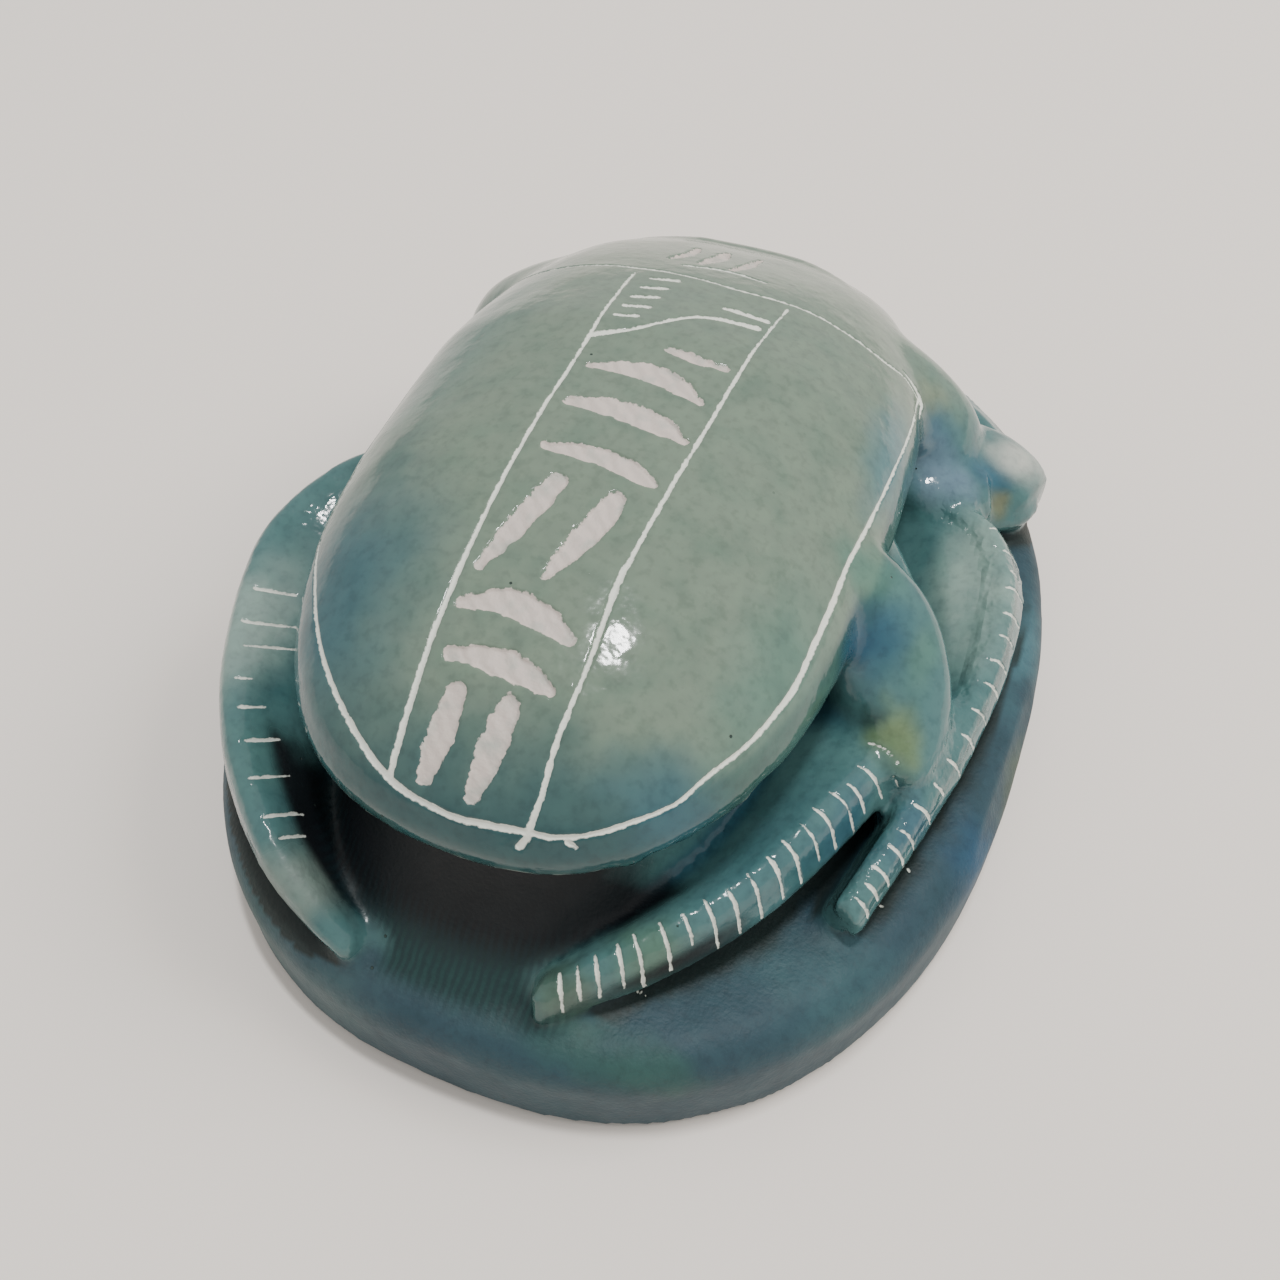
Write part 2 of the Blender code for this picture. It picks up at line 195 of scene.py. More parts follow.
# Thorax, waist and head
# Three lower forms of the same stone: the thorax flares wider than the back and shows at its
# front corners, the waist is what was left standing under the rim, and the head looks out in front.
THORAX_WIDTH = 52.4
THORAX_MIDDLE_Y = 25.2
THORAX_HALF_LENGTH = 8.8
THORAX_FRONT_LENGTH = 7.0
THORAX_POWER = 2.15
THORAX_REAR_POWER = 3.0
THORAX_EDGE_Z = 15.6
THORAX_TOP_Z = 25.4
THORAX_RIM = ((0.8, 0.6), (0.97, 0.0), (1.0, 0.5))
THORAX_EDGE_HEIGHT = 1.5
THORAX_TOP_SHARE = 0.985
THORAX_FLATNESS = 4
THORAX_SHOULDER = 0.6
THORAX_SIDES = 240
THORAX_STEPS = 40
WAIST_INSET = 4.5
WAIST_FLARE = 3.5
WAIST_HOLLOW = 2.4
WAIST_STEPS = 40
TAIL_LIP_INSET = 1.6
TAIL_LIP_DROP = 0.9
SINK = 1.5
HEAD_WIDTH = 19.0
HEAD_ASIDE = 1.5
HEAD_TOP_Z = 18.0
HEAD_BACK_Y = 32.0
HEAD_FRONT_Y = 42.4
HEAD_POWER = 2.6
HEAD_STEPS = 30
HEAD_ARC_STEPS = 60
HEAD_CROWDING = 1.6

# The head's narrowing and its sinking towards the front: how much in all, and the power of the curve
HEAD_NARROWING = (0.55, 2.5)
HEAD_SINKING = (0.62, 2.2)


def thorax():
    """A thin-edged cushion: its oval drawn in by a share, its top a dome as the crown's is."""
    rho = dome_shares(THORAX_STEPS)
    rise = THORAX_TOP_Z - THORAX_EDGE_Z - THORAX_EDGE_HEIGHT
    dome = (1 - rho ** THORAX_FLATNESS) ** THORAX_SHOULDER
    top = np.stack([THORAX_TOP_SHARE * rho, THORAX_EDGE_HEIGHT + rise * dome])
    share, lift = np.concatenate([np.array(THORAX_RIM).T, top], axis=1)
    across, along = oval(THORAX_SIDES, THORAX_POWER)
    across_rear, along_rear = oval(THORAX_SIDES, THORAX_REAR_POWER)
    rear = along < 0
    across = np.where(rear, across_rear, across)
    along = np.where(rear, THORAX_HALF_LENGTH * along_rear, THORAX_FRONT_LENGTH * along)
    x = THORAX_WIDTH / 2 * across * share[:, None]
    y = THORAX_MIDDLE_Y + along * share[:, None]
    return solid_through(on_plate(x, y, np.broadcast_to(THORAX_EDGE_Z + lift[:, None], x.shape)))


def waist():
    """The rim's oval drawn in by the undercut; its foot flares as 1 - t to the hollow's power, and
    at the tail it runs out as a long slope to the lip of the plate."""
    foot = PLATE_THICKNESS - TAIL_LIP_DROP
    t = np.linspace(0, 1, WAIST_STEPS)[:, None]
    flare = (1 - t) ** WAIST_HOLLOW
    inset = 1 - WAIST_INSET / (BACK_WIDTH / 2)
    tail_y = BACK_TAIL_Y + WAIST_INSET
    lip_y = -PLATE_LENGTH / 2 + TAIL_LIP_INSET
    across, along = back_outline()
    x = across * inset * (1 + WAIST_FLARE / (BACK_WIDTH / 2) * flare)
    along = along * (tail_y - BACK_WIDEST_Y) / (BACK_TAIL_Y - BACK_WIDEST_Y)
    y = BACK_WIDEST_Y + along + np.minimum(along, 0) * (tail_y - lip_y) / (BACK_WIDEST_Y - tail_y) * flare
    z = foot + (BACK_RIM_Z + BACK_BAND_HEIGHT - foot) * t + 0 * x
    rings = np.concatenate([on_plate(x[:1], y[:1], z[:1] - 2 * SINK), on_plate(x, y, z)])
    return solid_through(rings)


def head():
    """Squarish half ovals on upright sides, one behind the other, narrowing and sinking forwards."""
    t = np.linspace(0, 1, HEAD_STEPS)[:, None]
    low = PLATE_THICKNESS - SINK
    y = HEAD_BACK_Y + (HEAD_FRONT_Y - HEAD_BACK_Y) * (1 - (1 - t) ** HEAD_CROWDING)
    half = HEAD_WIDTH / 2 * (1 - HEAD_NARROWING[0] * t ** HEAD_NARROWING[1])
    top = low + (HEAD_TOP_Z - low) * (1 - HEAD_SINKING[0] * t ** HEAD_SINKING[1])
    turn = np.linspace(0, np.pi, HEAD_ARC_STEPS)
    x = HEAD_ASIDE + half * squared(np.cos(turn), HEAD_POWER)
    z = low + (top - low) * squared(np.sin(turn), HEAD_POWER)
    x = np.concatenate([x, HEAD_ASIDE - half, HEAD_ASIDE + half], axis=1)
    z = np.concatenate([z, low - SINK + 0 * half, low - SINK + 0 * half], axis=1)
    return solid_through(on_plate(x, y + 0 * x, z))


# Legs
# Three pairs lie folded along the sides, each a slope rising outwards to a rounded ridge, with a
# narrow outer face that was undercut so that the leg stands clear of the plate.
LEG_ROUND = 1.8
LEG_ROUND_TURNS = (120, 90, 60, 25)
LEG_ROUND_SQUASH = 0.8
LEG_SLOPE_BEND = (0.55, 0.62)
LEG_EDGE_ROUND = 0.9
LEG_EDGE_LEAN = 0.25
LEG_UNDERCUT = 2.6
LEG_UNDERCUT_RISE = 1.1
LEG_STEPS = 120

# Each leg: its side, the point that its cross-cuts point away from, and stations along its
# ridge as out from the back's side, along, ridge height, inner slope's width and foot height,
# outer face's width and the height of its edge.
LEGS = {
    "hind right": (1, (-17.8, -4), (
        (-2.8, 8.0, 20.6, 8.0, 19.0, 2.0, 17.5),
        (1.8, 2.0, 19.2, 10.0, 18.2, 2.0, 15.6),
        (4.2, -4.5, 17.8, 12.0, 16.4, 2.1, 14.2),
        (3.8, -10.4, 16.9, 12.0, 13.0, 2.2, 13.0),
        (1.0, -18.6, 17.0, 11.0, 10.0, 2.2, 12.5),
        (-3.1, -26.6, 16.2, 9.0, 9.2, 2.2, 11.7),
        (-8.9, -33.2, 14.8, 6.6, 8.6, 2.1, 10.4),
        (-14.4, -38.0, 12.6, 4.4, 8.0, 1.8, 9.4),
    )),
    "hind left": (-1, (-17.8, -6), (
        (-2.0, 2.0, 20.8, 6.0, 19.0, 2.0, 17.4),
        (3.4, -2.6, 20.0, 9.0, 18.0, 1.9, 16.4),
        (6.3, -9.6, 19.0, 10.0, 15.5, 1.8, 15.4),
        (5.3, -16.8, 18.5, 9.0, 14.5, 1.8, 14.8),
        (2.6, -23.6, 18.0, 8.0, 13.0, 1.8, 14.0),
        (-1.4, -30.0, 17.4, 7.0, 11.5, 1.8, 13.2),
        (-7.0, -35.5, 16.2, 5.0, 10.6, 1.6, 12.0),
        (-11.6, -38.0, 13.8, 3.6, 9.6, 1.4, 10.6),
        (-15.2, -39.2, 11.0, 2.2, 8.4, 1.2, 9.2),
    )),
    "middle right": (1, (-41.8, -2), (
        (-1.8, 18.0, 15.0, 4.0, 12.0, 2.4, 11.8),
        (5.8, 16.0, 15.8, 8.0, 12.0, 2.6, 12.0),
        (9.0, 10.6, 15.8, 9.0, 11.6, 2.4, 12.0),
        (9.8, 2.6, 15.4, 6.6, 11.2, 2.0, 11.8),
        (8.9, -5.6, 15.0, 4.0, 11.0, 1.8, 11.6),
        (7.2, -13.6, 14.5, 2.4, 10.6, 1.7, 11.1),
        (5.6, -19.8, 14.0, 2.0, 10.2, 1.6, 10.7),
        (4.2, -24.4, 13.2, 1.8, 9.8, 1.6, 10.2),
    )),
    "middle left": (-1, (-41.8, -2), (
        (-3.8, 15.0, 14.6, 4.0, 12.0, 2.4, 11.4),
        (0.6, 13.0, 14.8, 6.0, 12.0, 2.4, 11.4),
        (2.6, 7.0, 14.4, 6.0, 11.4, 2.0, 11.2),
        (3.4, -0.4, 14.0, 5.0, 11.0, 1.8, 11.0),
        (3.6, -8.0, 13.4, 3.4, 10.6, 1.7, 10.6),
        (3.2, -15.0, 12.6, 2.0, 10.0, 1.6, 10.0),
    )),
    "front right": (1, (-5.8, 29), (
        (-4.4, 18.8, 14.5, 6.0, 13.0, 2.4, 11.2),
        (1.4, 19.8, 14.8, 7.0, 12.6, 2.4, 10.8),
        (5.8, 21.0, 13.8, 8.0, 12.4, 2.4, 10.4),
        (8.8, 24.2, 13.4, 9.0, 12.4, 2.2, 10.4),
        (6.4, 30.0, 12.6, 8.0, 12.0, 2.4, 10.4),
        (-0.6, 36.0, 13.0, 6.0, 12.4, 2.4, 10.8),
        (-8.2, 38.8, 12.4, 6.0, 12.0, 2.2, 10.2),
    )),
    "front left": (-1, (-6.8, 29), (
        (-4.8, 19.4, 14.5, 6.0, 13.0, 2.4, 11.2),
        (-1.0, 21.2, 15.2, 6.0, 13.0, 2.4, 11.2),
        (1.0, 23.8, 14.4, 7.0, 13.0, 2.4, 11.2),
        (1.8, 27.6, 13.8, 7.0, 12.8, 2.4, 11.0),
        (0.0, 32.6, 13.2, 6.0, 12.4, 2.4, 10.8),
        (-4.4, 36.8, 12.8, 6.0, 12.2, 2.4, 10.6),
        (-9.8, 39.4, 12.4, 6.0, 12.0, 2.2, 10.2),
    )),
}


def smooth_between(stations, places):
    """Catmull-Rom curves through the stations' columns, read at places counted in stations."""
    rows = np.asarray(stations, float)
    rows = np.concatenate([2 * rows[:1] - rows[1:2], rows, 2 * rows[-1:] - rows[-2:-1]])
    span = np.clip(np.floor(places).astype(int), 0, len(stations) - 2)
    t = (places - span)[:, None]
    p, q, r, s = (rows[span + k] for k in range(4))
    straight = 2 * q + (r - p) * t
    return 0.5 * (straight + (2 * p - 5 * q + 4 * r - s) * t ** 2 + (3 * q - p - 3 * r + s) * t ** 3)


def leg_rings(leg, places):
    """Rings of a leg at places counted in stations. Each ring lies in the upright plane that points
    away from the leg's centre: inner slope, ridge arc, outer face, and the cut under its edge."""
    side, centre, stations = LEGS[leg]
    across, y, ridge, inner, inner_z, outer, edge = smooth_between(stations, places).T
    away = np.stack([across, y]) - np.array(centre, float)[:, None]
    away = away / np.hypot(*away)
    x = BACK_WIDTH / 2 + across
    foot = np.full_like(x, PLATE_THICKNESS - SINK)
    bend_out, bend_up = LEG_SLOPE_BEND
    arc = np.radians(LEG_ROUND_TURNS)
    out = [-inner, -inner, -inner * bend_out,
           *(LEG_ROUND * LEG_ROUND_SQUASH * np.cos(a) + 0 * x for a in arc),
           outer, outer - LEG_EDGE_LEAN, outer - LEG_UNDERCUT, outer - LEG_UNDERCUT]
    z = [foot, inner_z, inner_z + (ridge - inner_z) * bend_up,
         *(ridge - LEG_ROUND * (1 - np.sin(a)) for a in arc),
         edge + LEG_EDGE_ROUND, edge, edge - LEG_UNDERCUT_RISE, foot]
    out = np.stack(out, axis=1)
    return on_plate(side * (x[:, None] + away[0][:, None] * out), y[:, None] + away[1][:, None] * out,
                    np.stack(z, axis=1))


def leg_form(leg):
    """The whole leg as one closed form."""
    return solid_through(leg_rings(leg, np.linspace(0, len(LEGS[leg][2]) - 1, LEG_STEPS)))


# Thigh, shoulder and elbow
# On the right side the thigh runs out of the back and ends in a knee over the hind leg, and a
# round shoulder and a blunt elbow swell out beside the thorax.
LOBE_POWER = 2.8
LOBE_SIDES = 60
LOBE_STEPS = 60

# Each lobe: the depth of the hollow along its top, and stations as out from the back's side,
# along, top, half width and half thickness.
LOBES = {
    "thigh": (0.7, (
        (-5.0, -3.5, 27.4, 4.2, 6.0),
        (-1.4, -3.8, 26.6, 4.6, 6.4),
        (1.2, -4.8, 24.6, 4.9, 6.4),
        (3.2, -7.0, 21.4, 4.7, 5.6),
        (4.5, -9.6, 19.2, 3.8, 4.8),
        (5.2, -12.0, 17.8, 2.8, 4.2),
        (5.5, -14.0, 16.6, 1.5, 3.4),
    )),
    "shoulder": (0.0, (
        (-3.1, 19.6, 16.4, 3.8, 3.4),
        (0.4, 19.7, 17.0, 4.1, 3.6),
        (3.2, 20.4, 16.8, 3.8, 3.6),
        (5.6, 21.6, 15.8, 3.0, 3.0),
    )),
    "elbow": (0.0, (
        (2.2, 25.8, 16.4, 3.4, 3.4),
        (5.7, 25.2, 15.9, 4.0, 3.4),
        (8.5, 24.6, 14.9, 3.7, 3.2),
        (10.3, 24.0, 13.7, 2.6, 2.4),
    )),
}


def lobe_form(lobe):
    """Squarish oval sections on upright planes across a smooth path; the hollow is deepest half
    way along and in the middle of the top."""
    hollow, stations = LOBES[lobe]
    place = np.linspace(0, 1, LOBE_STEPS)
    across, along, top, half, thick = smooth_between(stations, place * (len(stations) - 1)).T[..., None]
    way = np.stack([np.gradient(across[:, 0]), np.gradient(along[:, 0])])
    way = (way / np.hypot(*way))[..., None]
    n, rise = oval(LOBE_SIDES, LOBE_POWER)
    sunk = hollow * np.sin(np.pi * place)[:, None] * (1 - n ** 2) * (rise > 0)
    x = BACK_WIDTH / 2 + across - way[1] * half * n
    y = along + way[0] * half * n
    return solid_through(on_plate(x, y, top - thick + thick * rise - sunk))


# One stone
# All the forms are one piece of steatite, so their closed meshes are merged on a fine grid.
# The fired glaze then ran: it filled the inner corners and left the edges a little soft.
GRID = 0.56
FLOW_STEPS = 8
FILL = 0.45
SOFTEN = 0.03
EVEN_OUT = 0.35
RUB_SHARE = 0.5

# Places rubbed round, on the thorax's flanks and on the rim in front: middle, reach, and rubs
RUBBED = (((-21, 26, 21), (8, 12, 6), 60), ((21, 26, 21), (8, 12, 6), 60), ((1, 39, 20), (20, 7, 6), 24))


def merged(forms):
    """One closed mesh of all the forms, remade on a cubic grid of the given size by Remesh."""
    points = np.concatenate([p for p, _ in forms])
    starts = np.cumsum([0] + [len(p) for p, _ in forms[:-1]])
    faces = np.concatenate([f + start for (_, f), start in zip(forms, starts)])
    block = bpy.data.meshes.new("carved_block")
    block.from_pydata(points.tolist(), [], faces.tolist())
    carrier = bpy.data.objects.new("carved_block", block)
    bpy.context.scene.collection.objects.link(carrier)
    remesh = carrier.modifiers.new("one stone", "REMESH")
    remesh.mode = "VOXEL"
    remesh.voxel_size = GRID
    whole = bpy.data.meshes.new_from_object(carrier.evaluated_get(bpy.context.evaluated_depsgraph_get()))
    bpy.data.objects.remove(carrier)
    return whole


def read_points(mesh):
    """The mesh's points as an array, a row each."""
    values = np.empty(len(mesh.vertices) * 3, np.float32)
    mesh.vertices.foreach_get("co", values)
    return values.reshape(-1, 3).astype(float)


def write_points(mesh, points):
    """Puts an array of points back into the mesh."""
    mesh.vertices.foreach_set("co", points.astype(np.float32).ravel())
    mesh.update()


def read_normals(mesh):
    """The mesh's outward directions at its points."""
    values = np.empty(len(mesh.vertices) * 3, np.float32)
    mesh.vertex_normals.foreach_get("vector", values)
    return values.reshape(-1, 3).astype(float)


def read_edges(mesh):
    """Pairs of joined points."""
    values = np.empty(len(mesh.edges) * 2, np.int32)
    mesh.edges.foreach_get("vertices", values)
    return values.reshape(-1, 2)


def neighbour_mean(values, edges):
    """The mean of each point's neighbours, for a column or several columns of values."""
    count = len(values)
    degree = np.bincount(edges.ravel(), minlength=count)
    columns = [np.bincount(edges[:, 0], column[edges[:, 1]], count)
               + np.bincount(edges[:, 1], column[edges[:, 0]], count)
               for column in values.reshape(count, -1).T]
    return (np.stack(columns, axis=-1) / degree[:, None]).reshape(values.shape)


def let_glaze_run(mesh):
    """Moves each point along its outward direction by a share of its step to its neighbours' mean:
    a large share where that leads outwards, in a hollow, and a small one on an edge. A part of the
    sideways step is taken too, which evens out the mesh."""
    points, edges = read_points(mesh), read_edges(mesh)
    for _ in range(FLOW_STEPS):
        normals = read_normals(mesh)
        step = neighbour_mean(points, edges) - points
        rise = (step * normals).sum(axis=1, keepdims=True)
        share = np.where(rise > 0, FILL, SOFTEN)
        points = points + normals * rise * share + (step - normals * rise) * EVEN_OUT
        write_points(mesh, points)


def ease(value, start, end):
    """0 before the start, 1 past the end and t*t*(3 - 2t) between them; start may be the larger."""
    t = np.clip((value - start) / (end - start), 0, 1)
    return t * t * (3 - 2 * t)


def ball(places, middle, reach):
    """1 in the middle of an oval ball and 0 from its edge on."""
    offset = (places - on_plate(*middle)) / reach
    return ease(np.linalg.norm(offset, axis=1), 1.1, 0.2)


def rub_down(mesh, middle, reach, rubs):
    """Evens out one place, with each point's step to its neighbours' mean weighted by the ball."""
    points, edges = read_points(mesh), read_edges(mesh)
    amount = RUB_SHARE * ball(points, middle, reach)[:, None]
    for _ in range(rubs):
        points = points + amount * (neighbour_mean(points, edges) - points)
    write_points(mesh, points)


def keep(mesh, name, values):
    """Stores one value for each point under a name."""
    layer = mesh.attributes.get(name) or mesh.attributes.new(name, "FLOAT", "POINT")
    layer.data.foreach_set("value", values.astype(np.float32))


def kept(mesh, name):
    """Reads such values back."""
    values = np.empty(len(mesh.vertices), np.float32)
    mesh.attributes[name].data.foreach_get("value", values)
    return values.astype(float)


stone = merged([plate(), waist(), back(), thorax(), head(), *(leg_form(leg) for leg in LEGS),
                *(lobe_form(lobe) for lobe in LOBES)])
let_glaze_run(stone)
for rubbed in RUBBED:
    rub_down(stone, *rubbed)

# How far each point lies below the mean of its wide surroundings, in mm: above nought in a hollow
WIDE_STEPS = 70
wide = read_points(stone)
stone_edges = read_edges(stone)
for _ in range(WIDE_STEPS):
    wide = neighbour_mean(wide, stone_edges)
keep(stone, "hollow", ((wide - read_points(stone)) * read_normals(stone)).sum(axis=1))


# Cut strokes
# After the glaze had dried the carver cut through it to the pale stone: a border line round the
# wing cases, two long columns, plain filler strokes between them, and short hatching on the legs.
BORDER = (
    (-20.0, 19.4, 0.14), (-20.6, 9.0, 0.14), (-20.6, 2.0, 0.16), (-20.1, -7.0, 0.16), (-19.5, -12.3, 0.19),
    (-19.0, -16.7, 0.19), (-16.3, -21.9, 0.18), (-13.1, -26.6, 0.19), (-8.8, -30.7, 0.24),
    (-4.3, -33.4, 0.27), (-0.1, -34.1, 0.24), (2.6, -34.0, 0.27), (5.8, -33.5, 0.24), (8.0, -32.9, 0.21),
    (10.6, -31.4, 0.18), (13.8, -28.4, 0.16), (15.3, -25.8, 0.16), (17.3, -21.8, 0.18), (18.6, -17.7, 0.24),
    (19.1, -14.0, 0.27), (19.4, -9.7, 0.27), (19.6, -4.9, 0.21), (20.2, 1.9, 0.16), (20.5, 8.2, 0.14),
    (20.5, 14.0, 0.14), (20.1, 20.2, 0.16),
)
LINES = (
    BORDER,
    ((-20.3, 18.9, 0.14), (-13.0, 18.7, 0.14), (-6.5, 18.7, 0.14), (-0.2, 18.8, 0.14), (4.0, 18.5, 0.14),
     (9.0, 19.3, 0.14), (13.2, 19.3, 0.16), (16.7, 19.3, 0.16), (18.6, 20.0, 0.16), (20.3, 19.7, 0.12)),
    ((18.2, 20.9, 0.12), (20.1, 20.3, 0.3), (20.9, 18.2, 0.1)),
    ((-5.7, 17.5, 0.1), (-5.0, 5.0, 0.15), (-5.1, -5.0, 0.16), (-5.1, -15.0, 0.18), (-4.8, -25.0, 0.21),
     (-4.3, -33.4, 0.24)),
    ((8.0, 18.0, 0.1), (7.2, 0.8, 0.15), (6.5, -9.4, 0.16), (6.1, -14.9, 0.16), (5.9, -16.9, 0.24),
     (6.1, -22.9, 0.18), (5.9, -28.3, 0.18), (6.0, -31.7, 0.21), (5.5, -35.6, 0.27)),
    ((-3.9, 16.7, 0.22), (-1.7, 17.3, 0.27)),
    ((-3.9, 14.5, 0.26), (-2.0, 15.2, 0.27)),
    ((-4.0, 12.4, 0.27), (-2.0, 13.1, 0.24)),
    ((-4.0, 10.4, 0.24), (-2.1, 11.0, 0.26)),
    ((-4.1, 8.5, 0.2), (-2.4, 9.0, 0.25)),
    ((-4.8, 5.4, 0.35), (-1.7, 7.3, 0.2), (2.1, 11.4, 0.22), (6.8, 12.6, 0.4)),
    ((3.6, 14.2, 0.28), (7.2, 14.3, 0.3)),
    ((8.4, -33.2, 0.2), (9.6, -34.0, 0.1)),
    ((-2.6, 21.6, 0.16), (1.0, 22.6, 0.24), (4.8, 22.2, 0.16)),
)
BROAD_STROKES = (
    ((1.6, 5.6, 0.3), (3.8, 5.4, 0.55), (6.3, 5.4, 0.3)),
    ((-3.5, 1.6, 0.3), (0.4, 2.4, 0.95), (3.4, 1.9, 0.9), (5.8, 0.8, 0.3)),
    ((-3.5, -2.8, 0.4), (0.4, -2.4, 1.05), (3.6, -2.9, 1.0), (6.0, -3.6, 0.35)),
    ((-3.5, -7.8, 0.35), (0.6, -7.5, 0.85), (3.2, -7.9, 0.85), (5.4, -8.5, 0.4)),
    ((-1.2, -10.9, 0.8), (-2.3, -14.6, 0.9), (-3.7, -19.0, 0.35)),
    ((3.4, -10.9, 0.8), (2.5, -14.4, 1.0), (1.0, -18.4, 0.35)),
    ((-3.8, -21.8, 0.45), (-0.6, -21.0, 1.05), (2.0, -21.3, 0.95), (4.3, -22.2, 0.4)),
    ((-3.2, -25.4, 0.5), (-0.2, -25.0, 0.95), (2.2, -25.2, 0.9), (4.4, -25.8, 0.4)),
    ((-1.7, -27.7, 0.75), (-1.75, -30.4, 1.0), (-1.9, -32.8, 0.6)),
    ((2.1, -27.4, 0.75), (1.9, -30.2, 1.0), (1.6, -32.9, 0.6)),
    ((-4.4, 23.0, 0.3), (-3.4, 25.6, 0.5), (-3.4, 28.4, 0.3)),
    ((-1.6, 23.2, 0.3), (-0.8, 26.0, 0.7), (-0.6, 29.0, 0.4)),
    ((1.4, 23.4, 0.3), (2.2, 26.2, 0.5), (2.4, 29.4, 0.3)),
)

# Hatching: the leg, the first and last place along it in stations, how many cuts, where each
# starts and ends across the leg as a place in its ring's points, and its slant along the leg
HATCHING = (
    ("hind right", 3.3, 6.8, 18, 3.5, 6.9, -0.03),
    ("middle right", 1.3, 6.8, 18, 4.3, 6.8, -0.03),
    ("hind left", 3.15, 6.3, 9, 2.2, 3.7, -0.03),
)
HATCH_UNEVEN = 0.25

STROKE_STEP = 0.4
FAR = 3.0
NEAR_HEIGHT = 3.0

# The mesh is made twice as fine within the first of these distances in mm from a stroke's edge, and
# twice as fine again within the second
FINER_REACHES = (0.42, 0.13)


def on_crown(places):
    """A stroke's row of (x, y, z, half width) on the crown, along a smooth path."""
    steps = np.linalg.norm(np.diff(np.array(places)[:, :2], axis=0), axis=1).sum() / STROKE_STEP
    line = smooth_between(places, np.linspace(0, len(places) - 1, int(steps) + 3))
    return np.column_stack([on_back(line[:, :2]), line[:, 2]])


def hatch(leg, first, last, count, inner_end, outer_end, slant):
    """Short cuts over a leg's ridge, evenly spaced but for a hand's unsteadiness."""
    chance = np.random.default_rng(count)
    cuts = []
    for place in np.linspace(first, last, count):
        place += chance.normal() * (last - first) / count * HATCH_UNEVEN * 0.5
        start = inner_end + chance.normal() * HATCH_UNEVEN
        end = outer_end + chance.normal() * HATCH_UNEVEN
        across = np.linspace(start, end, 8)
        rings = leg_rings(leg, place + slant * (across - start))
        row = np.arange(len(across))
        index = np.floor(across).astype(int)
        share = (across - index)[:, None]
        path = rings[row, index] * (1 - share) + rings[row, index + 1] * share
        half = chance.uniform(0.11, 0.16) * np.sin(np.linspace(0.35, 2.6, len(across))) ** 0.6
        cuts.append(np.column_stack([path, half]))
    return cuts


def stroke_edge(points, normals, strokes):
    """Distance in mm to the edge of the nearest stroke, below nought inside it. It is measured in
    the plane that the surface has at the point: the offset less its part along the normal."""
    nearest = np.full(len(points), FAR)
    for path in strokes:
        low = path[:, :3].min(axis=0) - FAR
        high = path[:, :3].max(axis=0) + FAR
        near = np.flatnonzero(((points > low) & (points < high)).all(axis=1))
        step = np.diff(path[:, :3], axis=0)
        gap = points[near, None] - path[:-1, :3]
        share = np.clip((gap * step).sum(axis=2) / (step ** 2).sum(axis=1), 0, 1)
        miss = gap - share[..., None] * step
        height = (miss * normals[near, None]).sum(axis=2)
        flat = np.sqrt(np.maximum((miss ** 2).sum(axis=2) - height ** 2, 0))
        half = path[:-1, 3] + share * np.diff(path[:, 3])
        edge = np.where(np.abs(height) < NEAR_HEIGHT, flat - half, FAR)
        nearest[near] = np.minimum(nearest[near], edge.min(axis=1))
    return nearest


def halve_edges(mesh, near):
    """Cuts in two each edge that starts or ends at one of the chosen points."""
    work = bmesh.new()
    work.from_mesh(mesh)
    edges = [edge for edge in work.edges if near[edge.verts[0].index] or near[edge.verts[1].index]]
    bmesh.ops.subdivide_edges(work, edges=edges, cuts=1, use_grid_fill=True)
    bmesh.ops.triangulate(work, faces=[face for face in work.faces if len(face.verts) > 3])
    work.to_mesh(mesh)
    work.free()


line_strokes = [on_crown(places) for places in LINES]
for leg_hatching in HATCHING:
    line_strokes += hatch(*leg_hatching)
broad_strokes = [on_crown(places) for places in BROAD_STROKES]

# The sawn underside needs no fine mesh
UNDERSIDE_REACH = 0.3
work = bmesh.new()
work.from_mesh(stone)
for vertex in work.verts:
    if vertex.co.z < UNDERSIDE_REACH and vertex.normal.z < -0.99:
        vertex.co.z = 0.0
flat = [face for face in work.faces if all(vertex.co.z == 0.0 for vertex in face.verts)]
inner = [edge for edge in {edge for face in flat for edge in face.edges}
         if all(all(vertex.co.z == 0.0 for vertex in face.verts) for face in edge.link_faces)]
bmesh.ops.dissolve_edges(work, edges=inner, use_verts=True)
bmesh.ops.triangulate(work, faces=work.faces)
work.to_mesh(stone)
work.free()

for reach in FINER_REACHES:
    points, normals = read_points(stone), read_normals(stone)
    edge = np.minimum(stroke_edge(points, normals, line_strokes),
                      np.abs(stroke_edge(points, normals, broad_strokes)))
    halve_edges(stone, np.abs(edge) < reach)


# Hand-carved surface
# No face is true: the file left long low waves and the firing and knocks left small flats, the
# rim's lower edge is nibbled, and the strokes stand a little below the glaze.
def lattice_noise(points, size, seed):
    """Smooth noise from -1 to 1: seeded random values at the corners of a cubic lattice of the given
    size in mm, blended inside each cell by t*t*(3 - 2t)."""
    table = np.random.default_rng(seed).uniform(-1, 1, 4096)
    place = points / size
    cell = np.floor(place).astype(np.int64)
    t = place - cell
    t = t * t * (3 - 2 * t)
    total = np.zeros(len(points))
    for corner in np.ndindex(2, 2, 2):
        i, j, k = (cell + corner).T
        value = table[(i * 73856093 ^ j * 19349663 ^ k * 83492791) % len(table)]
        total += value * np.prod(np.where(corner, t, 1 - t), axis=1)
    return total


# In mm: how deep the strokes are cut, how far apart the graver's stripes lie in the broad ones, and
# how ragged their edges are
LINE_DEPTH = 0.16
BROAD_DEPTH = 0.22
STRIPE = 0.45
RAGGED = 0.05

